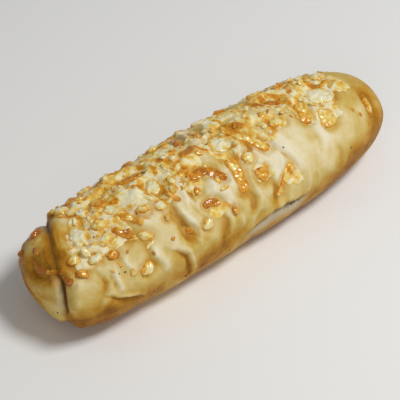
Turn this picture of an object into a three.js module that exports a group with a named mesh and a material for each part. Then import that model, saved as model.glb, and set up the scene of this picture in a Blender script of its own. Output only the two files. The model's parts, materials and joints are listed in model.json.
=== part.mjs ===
// A cheese breadstick: one baked loaf, and the cheese that was strewn over its top before baking.
// Millimetres, +Z up. The loaf lies along X on its own flat underside, its rounder seamed end at -X.
// The origin is on that underside, below the middle of the loaf's length and width.
//
// Every place on the crust is given by two numbers:
//   along  distance in mm over the crust from the loaf's station zero, + towards the plain end
//   turn   degrees around the loaf from its top line, + towards -Y, 180 at the bottom
import * as THREE from 'three';

// ---------------------------------------------------------------- driving dimensions

const WIDTH = 62;
const HEIGHT = 48;
const WAIST = 20; // height of the widest line
const BELLY = 22; // how far the round underside would reach below the waist
const TOP_POWER = 2.1; // roundness of the section above the waist
const BELLY_POWER = 2.4; // roundness of the section below it
const THICKEST_X = -5; // station with the full section
const ENDS = {
  seamed: { reach: 101.5, bluntness: 11, corner: 2.8, taper: 0.12, droop: 0 },
  plain: { reach: 105.6, bluntness: 2.6, corner: 3.3, taper: 0, droop: 4 },
};
const LOW_END = { from: -35, to: -95, drop: 0.1 }; // the back eases down towards the seamed end

// The dough's closing seam crosses the seamed end at a slant: [turn, along].
const SEAM = [[-180, -90], [-120, -84], [-80, -83], [-45, -86], [-20, -92], [0, -98],
  [22, -103], [45, -105.5], [70, -108], [105, -109], [150, -103], [180, -90]];
const SEAM_WIDTH = 1.8;
const SEAM_DEPTH = { top: 1.3, sides: 1.2 };
const LOBE_DROP = { top: 0.9, sides: 1.2 }; // the end lobe lies this much below the barrel

// The crust has torn open low on the front side: [along, turn].
const TEAR = [[-14, 94], [-6, 92], [1, 89], [8, 87], [14, 87.5], [22, 90], [32, 91]];
const TEAR_WIDTH = 2.6;
const TEAR_DEPTH = 1.5;

const CHEESE_GAP = 0.4; // clearance between a cheese piece and the crust
const MM_PER_DEGREE = 0.55; // crust length of one degree where the loaf is thickest

// ---------------------------------------------------------------- cheese, placed by hand

// Nuggets: [along, turn, length, breadth, height, lie (degrees from the loaf's length), tone]
const NUGGETS = [
  [-94, -46, 8, 7, 3.4, 0, 'toasted'],
  [-104, -58, 7, 6, 2.6, 20, 'toasted'],
  [-79, -36, 8, 7, 3.0, 0, 'pale'],
  [-94, 38, 6.5, 5.5, 3.0, 30, 'golden'],
  [-93.5, 22, 7, 6, 3.0, 0, 'pale'],
  [-85, 32, 7.5, 5, 2.8, -20, 'pale'],
  [-77.5, 37, 6, 5, 2.2, 30, 'toasted'],
  [-76, 21, 8.6, 6.6, 3.0, -15, 'pale'],
  [-74, 6, 8, 7, 2.6, 0, 'golden'],
  [-75, -13, 7, 6, 2.8, 0, 'pale'],
  [-66.5, 66, 8, 7, 2.8, 0, 'pale'],
  [-46, 23, 6, 5.5, 2.8, 0, 'pale'],
  [-47, 35, 3.5, 3.5, 1.6, 0, 'golden'],
  [-53.5, 17.5, 8, 6, 2.6, 30, 'golden'],
  [-60, 39, 8, 5, 1.8, 50, 'golden'],
  [-24, -8, 5, 5, 2.4, 0, 'pale'],
  [-30.5, 60, 6, 5.5, 2.6, 0, 'pale'],
  [5, 26, 6.5, 6, 3.0, 0, 'pale'],
  [31, 11, 9, 6, 2.6, -10, 'golden'],
  [-70, -46, 8, 7, 3.4, 0, 'toasted'],
  [-61, -52, 10, 8, 4.0, 10, 'pale'],
  [-101, 38, 5.5, 5, 2.8, 60, 'toasted'],
  [-36, -49, 8, 6, 2.8, 0, 'toasted'],
  [-22, -45, 8, 7, 3.0, 15, 'pale'],
  [9, -49, 10, 8, 3.6, 0, 'pale'],
  [20, -43, 8, 7, 3.4, 0, 'toasted'],
  [42, -41, 11, 8, 4.0, 10, 'golden'],
  [53, -33, 8, 6, 3.0, -20, 'toasted'],
  [74, -20, 9, 7, 3.2, 0, 'pale'],
  [-78, -66, 8, 7, 2.8, 0, 'pale'],
  [-42, -70, 7, 6, 2.6, 30, 'golden'],
  [-4, -72, 9, 7, 2.8, 0, 'pale'],
  [-14.5, 61, 4.5, 4, 1.8, 80, 'toasted'],
  [64, -52, 8, 7, 2.8, 20, 'golden'],
];

// Shreds and melted patches: width and height in mm, and the [along, turn] points they run through.
const SHREDS = [
  { width: 4.5, height: 1.5, tone: 'toasted', path: [[-106, -20], [-109, -3], [-107, 10]] },
  { width: 5, height: 1.6, tone: 'pale', path: [[-67, -4], [-62, 6], [-60.5, 20]] },
  { width: 5, height: 1.5, tone: 'toasted', path: [[-69.5, 14], [-68, 24], [-65, 32]] },
  { width: 3.5, height: 1.4, tone: 'golden', path: [[-69, -19], [-63, -16], [-57.5, -21]] },
  { width: 4, height: 1.4, tone: 'toasted', path: [[-52, -21], [-46, -20], [-39, -16]] },
  { width: 5.5, height: 1.6, tone: 'toasted',
    path: [[-26, 9], [-22, 15], [-16.5, 17], [-12.5, 24], [-10.5, 33]] },
  { width: 3.5, height: 1.5, tone: 'toasted', path: [[-25.5, 25], [-27.5, 33]] },
  { width: 6.5, height: 1.5, tone: 'golden', path: [[-5, 16], [-3.5, 24], [-3, 33], [-4, 43], [-6, 54]] },
  { width: 5.5, height: 1.4, tone: 'golden', path: [[8, -16], [9, -3], [12, 9], [15, 19], [18, 30]] },
  { width: 4.5, height: 1.4, tone: 'toasted', path: [[-28.5, 45], [-24, 43.5], [-19.5, 50]] },
  { width: 4, height: 1.5, tone: 'toasted', path: [[-42, 54], [-38, 63]] },
  { width: 5, height: 1.4, tone: 'golden', path: [[25, 53], [20, 59], [15, 67], [11.5, 75]] },
  { width: 7.5, height: 1.6, tone: 'golden', path: [[6, 38], [7, 45], [8, 53]] },
  { width: 6, height: 1.6, tone: 'golden', path: [[49.5, 3], [47, 15], [45, 27]] },
  { width: 5, height: 1.5, tone: 'toasted', path: [[37, -16], [41, -12], [44, -6]] },
  { width: 4, height: 1.3, tone: 'golden', path: [[87, 29], [87, 42], [86, 56]] },
  { width: 4.5, height: 1.7, tone: 'toasted', path: [[-9, -50], [-11, -36], [-14, -22]] },
  { width: 4, height: 1.4, tone: 'golden', path: [[-2, -42], [-1, -30], [-4, -19]] },
  { width: 4.5, height: 1.5, tone: 'golden', path: [[-28, -62], [-22, -68], [-18, -77]] },
  { width: 4.5, height: 1.4, tone: 'toasted', path: [[14, -62], [20, -70], [22, -80]] },
];
const PATCHES = [
  { width: 12, height: 1.9, tone: 'pale', path: [[-89, 3], [-80, 4]] },
  { width: 10.5, height: 1.9, tone: 'pale', path: [[-45.5, 0], [-38, 6]] },
  { width: 10, height: 1.8, tone: 'pale', path: [[-1, -11], [0, 9]] },
  { width: 12, height: 2.0, tone: 'pale', path: [[56, 3], [70, 9]] },
  { width: 9.5, height: 1.9, tone: 'golden', path: [[58, 20], [56, 44]] },
];

// ---------------------------------------------------------------- mesh fineness

const TURN_STEPS = 44;
const STEP = { barrel: 4.6, ends: 2.4, seam: 1.3 };
const SEAM_BAND = 5;
const END_BAND = 16;
const WARP = { left: 27, right: 34 }; // how far from the seam the mesh lines bend back

// ---------------------------------------------------------------- small helpers

const { clamp, degToRad } = THREE.MathUtils;

function smooth(from, to, value) {
  const t = clamp((value - from) / (to - from), 0, 1);
  return t * t * (3 - 2 * t);
}

function signedPower(value, power) {
  return Math.sign(value) * Math.abs(value) ** power;
}

function lookUp(keys, values, key) {
  let i = 1;
  while (i < keys.length - 1 && keys[i] < key) i += 1;
  const share = clamp((key - keys[i - 1]) / (keys[i] - keys[i - 1]), 0, 1);
  return values[i - 1] + share * (values[i] - values[i - 1]);
}

// ---------------------------------------------------------------- the loaf's surface

// Share of the full section at a station x: blunt ends joined by a nearly even barrel.
function sectionShare(x) {
  const end = x < THICKEST_X ? ENDS.seamed : ENDS.plain;
  const t = clamp(Math.abs(x - THICKEST_X) / end.reach, 0, 1);
  return (1 - t ** end.bluntness) ** (1 / end.corner) * (1 - end.taper * t * t);
}

// Stations from tip to tip, packed towards the tips, and the crust distance along the back at each.
function measureBack(steps) {
  const stations = [];
  for (let i = -steps; i <= steps; i += 1) {
    const end = i < 0 ? ENDS.seamed : ENDS.plain;
    const share = 1 - (1 - Math.abs(i) / steps) ** 3;
    stations.push(THICKEST_X + Math.sign(i) * end.reach * share);
  }
  const meanRadius = 33;
  const distances = [0];
  for (let i = 1; i < stations.length; i += 1) {
    const run = stations[i] - stations[i - 1];
    const rise = meanRadius * (sectionShare(stations[i]) - sectionShare(stations[i - 1]));
    distances.push(distances[i - 1] + Math.hypot(run, rise));
  }
  const zero = lookUp(stations, distances, 0);
  return { stations, distances: distances.map((distance) => distance - zero) };
}

const BACK = measureBack(400);
const FIRST = BACK.distances[0];
const LAST = BACK.distances.at(-1);

// A point on the plain loaf, before its seam and tear are pressed in.
function plainPoint(along, turn) {
  const x = lookUp(BACK.distances, BACK.stations, along);
  const share = sectionShare(x);
  const cos = Math.cos(degToRad(turn));
  const sin = Math.sin(degToRad(turn));
  const power = 2 / (cos >= 0 ? TOP_POWER : BELLY_POWER);
  const droop = (x < THICKEST_X ? ENDS.seamed.droop : ENDS.plain.droop) * (1 - share);
  const waist = WAIST - droop;
  const top = (HEIGHT - waist) * (1 - LOW_END.drop * smooth(LOW_END.from, LOW_END.to, x));
  const reach = cos >= 0 ? top : BELLY - droop;
  return new THREE.Vector3(
    x,
    -(WIDTH / 2) * signedPower(sin, power) * share,
    waist + reach * signedPower(cos, power) * share,
  );
}

function outward(along, turn) {
  const step = 0.3;
  const before = Math.max(along - step, FIRST + 0.01);
  const after = Math.min(along + step, LAST - 0.01);
  const lengthwise = plainPoint(after, turn).sub(plainPoint(before, turn));
  const around = plainPoint(along, turn + step).sub(plainPoint(along, turn - step));
  return around.cross(lengthwise).normalize();
}

function seamAt(turn) {
  return lookUp(SEAM.map((point) => point[0]), SEAM.map((point) => point[1]), turn);
}

// How strongly the seam gapes: least over the top, most on the two flanks.
function gape(turn) {
  const front = smooth(15, 45, turn) * (1 - smooth(75, 110, turn));
  const back = smooth(-20, -50, turn) * (1 - smooth(-80, -120, turn));
  return front + back;
}

function tearDepth(along, turn) {
  const middle = lookUp(TEAR.map((point) => point[0]), TEAR.map((point) => point[1]), along);
  const offside = (turn - middle) * MM_PER_DEGREE / TEAR_WIDTH;
  const lengthwise = smooth(TEAR[0][0], TEAR[1][0], along)
    * (1 - smooth(TEAR.at(-2)[0], TEAR.at(-1)[0], along));
  return TEAR_DEPTH * lengthwise * Math.exp(-offside * offside);
}

function pressedIn(along, turn) {
  const past = along - seamAt(turn);
  const flank = gape(turn);
  const lobe = (LOBE_DROP.top + LOBE_DROP.sides * flank)
    * smooth(0, -2.5, past) * (1 - 0.8 * smooth(-8, -22, past));
  const groove = (SEAM_DEPTH.top + SEAM_DEPTH.sides * flank) * Math.exp(-((past / SEAM_WIDTH) ** 2));
  return lobe + groove + tearDepth(along, turn);
}

// A point on the finished crust, or the given height above it.
function crustPoint(along, turn, above = 0) {
  const point = plainPoint(along, turn);
  point.addScaledVector(outward(along, turn), above - pressedIn(along, turn));
  point.z = Math.max(point.z, 0);
  return point;
}

// ---------------------------------------------------------------- closed solids from rings

// Rings of points between two tips, all wound the same way, as one closed surface.
function ringSolid(firstTip, rings, lastTip) {
  const count = rings[0].length;
  const points = [firstTip, ...rings.flat(), lastTip];
  const index = [];
  const at = (ring, i) => 1 + ring * count + (i % count);
  for (let i = 0; i < count; i += 1) {
    index.push(0, at(0, i + 1), at(0, i));
    index.push(points.length - 1, at(rings.length - 1, i), at(rings.length - 1, i + 1));
  }
  for (let ring = 0; ring < rings.length - 1; ring += 1) {
    for (let i = 0; i < count; i += 1) {
      index.push(at(ring, i), at(ring, i + 1), at(ring + 1, i));
      index.push(at(ring, i + 1), at(ring + 1, i + 1), at(ring + 1, i));
    }
  }
  const geometry = new THREE.BufferGeometry().setFromPoints(points);
  geometry.setIndex(index);
  geometry.computeVertexNormals();
  return geometry;
}

// ---------------------------------------------------------------- the loaf

const SEAM_STATION = seamAt(0);

// Mesh lines follow the slanting seam near it and straighten away from it.
function bentAlong(station, turn) {
  const reach = station < SEAM_STATION ? WARP.left : WARP.right;
  const nearness = 1 - smooth(0, reach, Math.abs(station - SEAM_STATION));
  return station + (seamAt(turn) - SEAM_STATION) * nearness;
}

function loafStations() {
  const stations = [];
  let station = FIRST + STEP.seam;
  while (station < LAST - STEP.seam) {
    stations.push(station);
    const nearSeam = Math.abs(station - SEAM_STATION) < SEAM_BAND;
    const nearEnd = Math.min(station - FIRST, LAST - station) < END_BAND;
    station += nearSeam ? STEP.seam : nearEnd ? STEP.ends : STEP.barrel;
  }
  return stations;
}

function loafGeometry() {
  const turnStep = 360 / TURN_STEPS;
  const rings = loafStations().map((station) => {
    const ring = [];
    for (let i = 0; i < TURN_STEPS; i += 1) {
      const turn = -180 + i * turnStep;
      ring.push(crustPoint(bentAlong(station, turn), turn));
    }
    return ring;
  });
  return ringSolid(crustPoint(FIRST, 0), rings, crustPoint(LAST, 0));
}

// ---------------------------------------------------------------- the cheese

// A low domed strip that runs along a path over the crust, flat side down, with rounded ends.
function cheeseGeometry({ path, width, height }) {
  const curve = new THREE.CatmullRomCurve3(
    path.map(([along, turn]) => new THREE.Vector3(along, turn * MM_PER_DEGREE, 0)),
  );
  const length = curve.getLength();
  const rounding = Math.min(width, length) / 2;
  const stations = Math.round(clamp(length / 2.4 + 2, 5, 14));
  const sides = width > 9 ? 12 : 8;

  const place = (middle, sideways, above) => {
    const share = sectionShare(lookUp(BACK.distances, BACK.stations, middle.x));
    const along = middle.x + sideways.x;
    const turn = (middle.y + sideways.y / share) / MM_PER_DEGREE;
    return crustPoint(along, turn, CHEESE_GAP + above);
  };

  const rings = [];
  for (let i = 1; i < stations; i += 1) {
    const t = (1 - Math.cos((Math.PI * i) / stations)) / 2;
    const middle = curve.getPointAt(t);
    const heading = curve.getTangentAt(t);
    const fromEnd = clamp((Math.min(t, 1 - t) * length) / rounding, 0, 1);
    const fullness = Math.sqrt(1 - (1 - fromEnd) ** 2);
    const ring = [];
    for (let side = 0; side < sides; side += 1) {
      const angle = (2 * Math.PI * side) / sides;
      const offset = (width / 2) * fullness * Math.cos(angle);
      const sideways = new THREE.Vector3(heading.y, -heading.x, 0).multiplyScalar(offset);
      const dome = side < sides / 2 ? height * fullness * Math.sin(angle) ** 0.8 : 0;
      ring.push(place(middle, sideways, dome));
    }
    rings.push(ring);
  }
  const none = new THREE.Vector3();
  return ringSolid(place(curve.getPoint(0), none, 0), rings, place(curve.getPoint(1), none, 0));
}

// A nugget is a short strip whose path is its own length.
function nuggetShape([along, turn, length, breadth, height, lie]) {
  const share = sectionShare(lookUp(BACK.distances, BACK.stations, along));
  const dAlong = (length / 2) * Math.cos(degToRad(lie));
  const dTurn = ((length / 2) * Math.sin(degToRad(lie))) / (MM_PER_DEGREE * share);
  const path = [[along - dAlong, turn - dTurn], [along, turn], [along + dAlong, turn + dTurn]];
  return { path, width: breadth, height };
}

// ---------------------------------------------------------------- finishes

const FINISHES = {
  crust: { color: 0xd2a866, roughness: 0.55 },
  pale: { color: 0xe9dcb8, roughness: 0.5 },
  golden: { color: 0xd08a35, roughness: 0.45 },
  toasted: { color: 0x96511f, roughness: 0.45 },
};

function finish(tone) {
  return new THREE.MeshStandardMaterial({ ...FINISHES[tone], metalness: 0 });
}

// ---------------------------------------------------------------- assembly

const breadstick = new THREE.Group();
// The two ends reach different distances from station zero, so the loaf is slid to centre it.
breadstick.position.x = (ENDS.seamed.reach - ENDS.plain.reach) / 2 - THICKEST_X;

function add(name, geometry, tone) {
  const mesh = new THREE.Mesh(geometry, finish(tone));
  mesh.name = name;
  breadstick.add(mesh);
}

function numbered(kind, i) {
  return `${kind}_${String(i + 1).padStart(2, '0')}`;
}

add('bread_loaf', loafGeometry(), 'crust');
NUGGETS.forEach((nugget, i) => {
  add(numbered('cheese_nugget', i), cheeseGeometry(nuggetShape(nugget)), nugget[6]);
});
SHREDS.forEach((shred, i) => {
  add(numbered('cheese_shred', i), cheeseGeometry(shred), shred.tone);
});
PATCHES.forEach((patch, i) => {
  add(numbered('cheese_patch', i), cheeseGeometry(patch), patch.tone);
});

export default breadstick;
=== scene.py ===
# %% [markdown]
# # A cheese breadstick
# A plump bread stick, brushed with egg, strewn with grated cheese and baked until the cheese has melted
# and browned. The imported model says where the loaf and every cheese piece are. This lesson gives them the
# surface of the real thing: stretched, dented crust, a seam where the dough was closed, bubbled cheese
# and toasted edges.

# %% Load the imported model
import json
import math

import bpy
import bmesh
import numpy as np
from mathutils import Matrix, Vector, kdtree, noise
from mathutils.bvhtree import BVHTree


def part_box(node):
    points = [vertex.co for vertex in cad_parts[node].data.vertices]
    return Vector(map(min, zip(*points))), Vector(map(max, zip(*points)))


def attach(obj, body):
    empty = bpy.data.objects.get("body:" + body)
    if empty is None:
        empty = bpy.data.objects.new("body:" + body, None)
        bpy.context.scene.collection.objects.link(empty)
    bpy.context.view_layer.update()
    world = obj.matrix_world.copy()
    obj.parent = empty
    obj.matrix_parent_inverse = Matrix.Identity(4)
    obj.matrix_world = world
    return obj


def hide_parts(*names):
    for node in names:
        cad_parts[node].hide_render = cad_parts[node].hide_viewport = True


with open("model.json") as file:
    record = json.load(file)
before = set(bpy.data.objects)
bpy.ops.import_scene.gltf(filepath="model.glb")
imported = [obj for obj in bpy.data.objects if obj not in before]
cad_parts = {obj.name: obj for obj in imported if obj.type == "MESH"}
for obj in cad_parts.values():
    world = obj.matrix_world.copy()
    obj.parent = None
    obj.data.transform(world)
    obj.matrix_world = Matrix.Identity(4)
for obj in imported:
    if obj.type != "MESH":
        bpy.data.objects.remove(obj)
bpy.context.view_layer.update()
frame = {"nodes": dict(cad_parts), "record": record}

MM = 0.001

# %% [markdown]
# ## Camera, floor and light
# The stick is seen from its front left and from well above, through a long lens, so its far end hardly
# shrinks. The main soft light hangs above and to the front right, and a wider, weaker one stands at the
# front left, as in a light tent, because the crust shows one broad sheen and no hard shadows. A pale
# floor throws light back under the loaf.

# %% Camera
AZIMUTH, ELEVATION = math.radians(-41), math.radians(43.5)
DISTANCE, LENS = 0.685, 128.7
# in mm: what the camera looks at, and how far that is moved to the right and up in its picture
LOOK_AT, SHIFT_RIGHT, SHIFT_UP = (2.95, 0, 22), -8.7, -7.6

level = math.cos(ELEVATION)
back = Vector((math.sin(AZIMUTH) * level, -math.cos(AZIMUTH) * level, math.sin(ELEVATION)))
right = Vector((math.cos(AZIMUTH), math.sin(AZIMUTH), 0))
up = back.cross(right)
target = Vector(LOOK_AT) * MM + right * SHIFT_RIGHT * MM + up * SHIFT_UP * MM


def new_object(name, data):
    """An object in the scene, at the origin until it is moved."""
    made = bpy.data.objects.new(name, data)
    bpy.context.scene.collection.objects.link(made)
    return made


camera = new_object("camera", bpy.data.cameras.new("camera"))
camera.data.lens = LENS
camera.data.clip_start, camera.data.clip_end = 0.01, 20
camera.location = target + back * DISTANCE
camera.rotation_mode = "QUATERNION"
camera.rotation_quaternion = (-back).to_track_quat("-Z", "Y")
bpy.context.scene.camera = camera


# %% Lights
LIGHT_AIM = (0, 0, 0.02)
SKY_COLOUR, SKY_STRENGTH = (1.0, 0.98, 0.94, 1), 0.225


def softbox(name, place, size, watts):
    """A round soft light, sizes in metres, aimed at the loaf."""
    lamp = bpy.data.lights.new(name, "AREA")
    lamp.shape, lamp.size, lamp.energy = "DISK", size, watts
    made = new_object(name, lamp)
    made.location = place
    made.rotation_mode = "QUATERNION"
    made.rotation_quaternion = (Vector(LIGHT_AIM) - Vector(place)).to_track_quat("-Z", "Y")


softbox("overhead", place=(0.30, -0.36, 0.88), size=0.32, watts=5.6)
softbox("front_fill", place=(-0.95, -0.7, 0.5), size=0.7, watts=1.75)
world = bpy.data.worlds.new("studio")
world.use_nodes = True
sky = world.node_tree.nodes["Background"].inputs
sky["Color"].default_value, sky["Strength"].default_value = SKY_COLOUR, SKY_STRENGTH
bpy.context.scene.world = world
bpy.context.scene.view_settings.view_transform = "Standard"

# %% [markdown]
# ## Writing shader maths as sums
# A material here is a small formula over the surface. Wrapping each socket in a class with `+`, `-` and
# `*` lets the formula be written the way it is said, and every sign adds one Math node. Everything that
# isn't arithmetic comes from one method that sets a node's options first and its sockets after.

# %% Values that add their own Math nodes
class Value:
    """One output socket in a node tree. Arithmetic on it adds Math nodes."""

    def __init__(self, tree, socket):
        self.tree, self.socket = tree, socket

    def combine(self, operation, first, second, clamp=False):
        node = self.tree.nodes.new("ShaderNodeMath")
        node.operation, node.use_clamp = operation, clamp
        put(self.tree, node.inputs[0], first)
        put(self.tree, node.inputs[1], second)
        return Value(self.tree, node.outputs[0])

    def __add__(self, other):
        return self.combine("ADD", self, other)

    __radd__ = __add__

    def __sub__(self, other):
        return self.combine("SUBTRACT", self, other)

    def __rsub__(self, other):
        return self.combine("SUBTRACT", other, self)

    def __mul__(self, other):
        return self.combine("MULTIPLY", self, other)

    def clamp(self):
        return self.combine("ADD", self, 0.0, clamp=True)

    def step(self, start, end):
        """0 before start, 1 after end, and a smooth rise between."""
        node = self.tree.nodes.new("ShaderNodeMapRange")
        node.interpolation_type = "SMOOTHSTEP"
        put(self.tree, node.inputs["Value"], self)
        node.inputs["From Min"].default_value, node.inputs["From Max"].default_value = start, end
        return Value(self.tree, node.outputs["Result"])


def put(tree, socket, value):
    """Links a Value to a socket, or sets the socket to a plain number, colour, name or object."""
    if isinstance(value, Value):
        tree.links.new(value.socket, socket)
    elif hasattr(socket.default_value, "__len__") and not isinstance(value, str) and len(value) == 3:
        socket.default_value = (*value, 1)[:len(socket.default_value)]
    else:
        socket.default_value = value


# %% One method for every other node
class Nodes:
    """A node tree, with one method that adds a node and wires it."""

    def __init__(self, tree):
        self.tree = tree

    def add(self, kind, settings=None, inputs=None, output=0):
        node = self.tree.nodes.new(kind)
        for name, value in (settings or {}).items():
            setattr(node, name, value)
        by_name = {socket.identifier: socket for socket in node.inputs}
        by_name.update({s.name: s for s in reversed(node.inputs) if s.enabled})
        for name, value in (inputs or {}).items():
            put(self.tree, by_name[name], value)
        outputs = {socket.identifier: socket for socket in node.outputs}
        return Value(self.tree, node.outputs[output] if isinstance(output, int) else outputs[output])

    def ramp(self, stops, value):
        """The colour at a value, 0 to 1, among stops of (position, colour)."""
        node = self.tree.nodes.new("ShaderNodeValToRGB")
        elements = node.color_ramp.elements
        while len(elements) < len(stops):
            elements.new(0.5)
        for element, (position, colour) in zip(elements, stops):
            element.position, element.color = position, (*colour, 1)
        put(self.tree, node.inputs["Fac"], value)
        return Value(self.tree, node.outputs["Color"])

    def mix(self, factor, first, second):
        return self.add("ShaderNodeMix", {"data_type": "RGBA"},
                        {"Factor_Float": factor, "A_Color": first, "B_Color": second}, "Result_Color")


# %% A finish: a material that holds its own Nodes
class Finish(Nodes):
    """A material with one Principled shader and the object's own coordinates at hand."""

    def __init__(self, name):
        self.material = bpy.data.materials.new(name)
        self.material.use_nodes = True
        super().__init__(self.material.node_tree)
        self.shader = self.tree.nodes["Principled BSDF"]
        self.place = self.add("ShaderNodeTexCoord", output="Object")

    def noise(self, size, detail=2.0, roughness=0.5):
        """Cloudy values, 0 to 1, whose patches are about the given size in metres."""
        return self.add("ShaderNodeTexNoise", inputs={
            "Vector": self.place, "Scale": 1 / size, "Detail": detail, "Roughness": roughness})

    def attribute(self, name):
        return self.add("ShaderNodeAttribute", {"attribute_name": name}, output="Fac")

    def bump(self, height, depth, strength=1.0, under=None):
        inputs = {"Height": height, "Distance": depth, "Strength": strength}
        if under is not None:
            inputs["Normal"] = under
        return self.add("ShaderNodeBump", inputs=inputs)

    def let_light_in(self, reach):
        """A weak mirror shine, and light that sinks in, red furthest, and comes out a little warmer."""
        self.shader.inputs["Specular IOR Level"].default_value = 0.12
        self.shader.inputs["Subsurface Weight"].default_value = 0.08
        self.shader.inputs["Subsurface Radius"].default_value = reach
        self.shader.inputs["Subsurface Scale"].default_value = 0.5

    def set(self, **sockets):
        for name, value in sockets.items():
            put(self.tree, self.shader.inputs[name.replace("_", " ")], value)


# %% [markdown]
# ## The loaf's own surface
# Dough that is rolled into a stick and proved ends up as a blunt-ended barrel that has spread a little on
# its tray. A sculpt could make one, but a formula is exact and repeatable: every place on the crust is a
# distance `along` the loaf and a `turn` around it, and each later step only asks how far the crust lies
# above or below that form. Along is in millimetres, turn in degrees from the top line, positive towards
# the front.

# %% The plain form
loaf_low, loaf_high = (np.array(corner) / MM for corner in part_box("bread_loaf"))
LENGTH, WIDTH, HEIGHT = loaf_high - loaf_low
THICKEST = -5.0
SEAMED_REACH = 101.5
PLAIN_REACH = LENGTH - SEAMED_REACH
CENTRING = loaf_low[0] + SEAMED_REACH - THICKEST
# in mm: how high the widest line lies, and how far the section would hang below it without a tray
WAIST, BELLY = 20.0, 22.0
TOP_POWER, BELLY_POWER = 2.1, 2.4
DROOP, BACK_SLOPE = 4.0, 0.1
# for each end: how long it stays full, how square its shoulder is, and how much it narrows
SEAMED_END, PLAIN_END = (11, 2.8, 0.12), (2.6, 3.3, 0)
# what a degree of turn measures on the crust, near enough for the sizes of things on it
MM_PER_DEGREE = 0.55


def smooth(start, end, value):
    """0 before start, 1 after end, and a smooth rise between. Start may be the higher one."""
    t = np.clip((value - start) / (end - start), 0, 1)
    return t * t * (3 - 2 * t)


def bell(value, middle, width):
    """1 at the middle, sinking smoothly to nothing about two widths away on both sides."""
    return np.exp(-((value - middle) / width) ** 2)


def section_share(x):
    """Share of the full section at a station: blunt ends joined by a nearly even barrel."""
    seamed = x < THICKEST
    t = np.clip(np.abs(x - THICKEST) / np.where(seamed, SEAMED_REACH, PLAIN_REACH), 0, 1)
    bluntness, corner, narrowing = (np.where(seamed, *pair) for pair in zip(SEAMED_END, PLAIN_END))
    return (1 - t ** bluntness) ** (1 / corner) * (1 - narrowing * t * t)


def measure_back(steps=400, mean_radius=33):
    """Stations from tip to tip and the crust distance along the back at each."""
    i = np.arange(-steps, steps + 1)
    share = 1 - (1 - np.abs(i) / steps) ** 3
    x = THICKEST + np.sign(i) * np.where(i < 0, SEAMED_REACH, PLAIN_REACH) * share
    strides = np.hypot(np.diff(x), mean_radius * np.diff(section_share(x)))
    along = np.concatenate([[0], np.cumsum(strides)])
    return x, along - np.interp(0, x, along)


BACK_X, BACK_ALONG = measure_back()
FIRST, LAST = BACK_ALONG[0], BACK_ALONG[-1]


def signed_power(value, power):
    """A power that keeps the sign."""
    return np.sign(value) * np.abs(value) ** power


def plain_point(along, turn):
    """Places in mm on the plain form."""
    x = np.interp(along, BACK_ALONG, BACK_X)
    share = section_share(x)
    cos, sin = np.cos(np.radians(turn)), np.sin(np.radians(turn))
    power = 2 / np.where(cos >= 0, TOP_POWER, BELLY_POWER)
    droop = np.where(x < THICKEST, 0, DROOP) * (1 - share)
    waist = WAIST - droop
    top = (HEIGHT - waist) * (1 - BACK_SLOPE * smooth(-35, -95, x))
    reach = np.where(cos >= 0, top, BELLY - droop)
    y = -WIDTH / 2 * signed_power(sin, power) * share
    return np.stack([x + CENTRING, y, waist + reach * signed_power(cos, power) * share], -1)


def outward(along, turn, step=0.3):
    """Directions of length 1 that point straight out of the plain form."""
    ahead = plain_point(np.minimum(along + step, LAST - 0.01), turn)
    lengthwise = ahead - plain_point(np.maximum(along - step, FIRST + 0.01), turn)
    around = plain_point(along, turn + step) - plain_point(along, turn - step)
    normal = np.cross(around, lengthwise)
    return normal / np.maximum(np.linalg.norm(normal, axis=-1, keepdims=True), 1e-9)


print(f"loaf {LENGTH:.1f} x {WIDTH:.1f} x {HEIGHT:.1f} mm, {LAST - FIRST:.0f} mm over its back")

# %% [markdown]
# ## A mesh that follows the seam
# The crack of the seam is about a millimetre wide, so a plain grid would turn it into a staircase. Here
# the grid's lines are bent to run along the slanting seam. They lie closest together there, and closer at
# the two tips than along the barrel.

# %% Grid of crust places
# the seam as [turn, along]
SEAM = np.array([[-180, -90], [-120, -84], [-80, -83], [-45, -86], [-20, -92], [0, -98], [22, -103],
                 [45, -105.5], [70, -108], [105, -109], [150, -103], [180, -90]], float)
# in mm: how far apart the rings are, and how far from the seam they still lean with it on either side
STEP = {"barrel": 0.68, "ends": 0.5, "seam": 0.33}
LEAN_OVER_LOBE, LEAN_OVER_BARREL = 27, 34
# points around a ring: fine ones up to this turn on both sides of the top, coarse ones underneath
FINE_TURNS, COARSE_TURNS, FINE_HALF = 206, 26, 112


def seam_at(turn):
    """How far along the loaf the seam is at a turn."""
    return np.interp(turn, SEAM[:, 0], SEAM[:, 1])


SEAM_MIDDLE = float(seam_at(0))


def loaf_stations(seam_band=5, end_band=16):
    """Where the rings are along the top line."""
    stations, station = [], FIRST + STEP["seam"]
    while station < LAST - STEP["seam"]:
        stations.append(station)
        if abs(station - SEAM_MIDDLE) < seam_band:
            station += STEP["seam"]
        elif min(station - FIRST, LAST - station) < end_band:
            station += STEP["ends"]
        else:
            station += STEP["barrel"]
    return np.array(stations)


stations = loaf_stations()
turns = np.concatenate([
    np.linspace(-FINE_HALF, FINE_HALF, FINE_TURNS, endpoint=False),
    np.linspace(FINE_HALF, 360 - FINE_HALF, COARSE_TURNS, endpoint=False)])
turns = np.where(turns >= 180, turns - 360, turns)
AROUND = len(turns)
station_grid, turn_grid = (g.ravel() for g in np.meshgrid(stations, turns, indexing="ij"))
lean_reach = np.where(station_grid < SEAM_MIDDLE, LEAN_OVER_LOBE, LEAN_OVER_BARREL)
nearness = 1 - smooth(0, lean_reach, np.abs(station_grid - SEAM_MIDDLE))
along = np.concatenate([[FIRST], station_grid + (seam_at(turn_grid) - SEAM_MIDDLE) * nearness, [LAST]])
turn = np.concatenate([[0], turn_grid, [0]])
form, normals = plain_point(along, turn), outward(along, turn)
print(len(form), "crust points on", len(stations), "rings")

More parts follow.
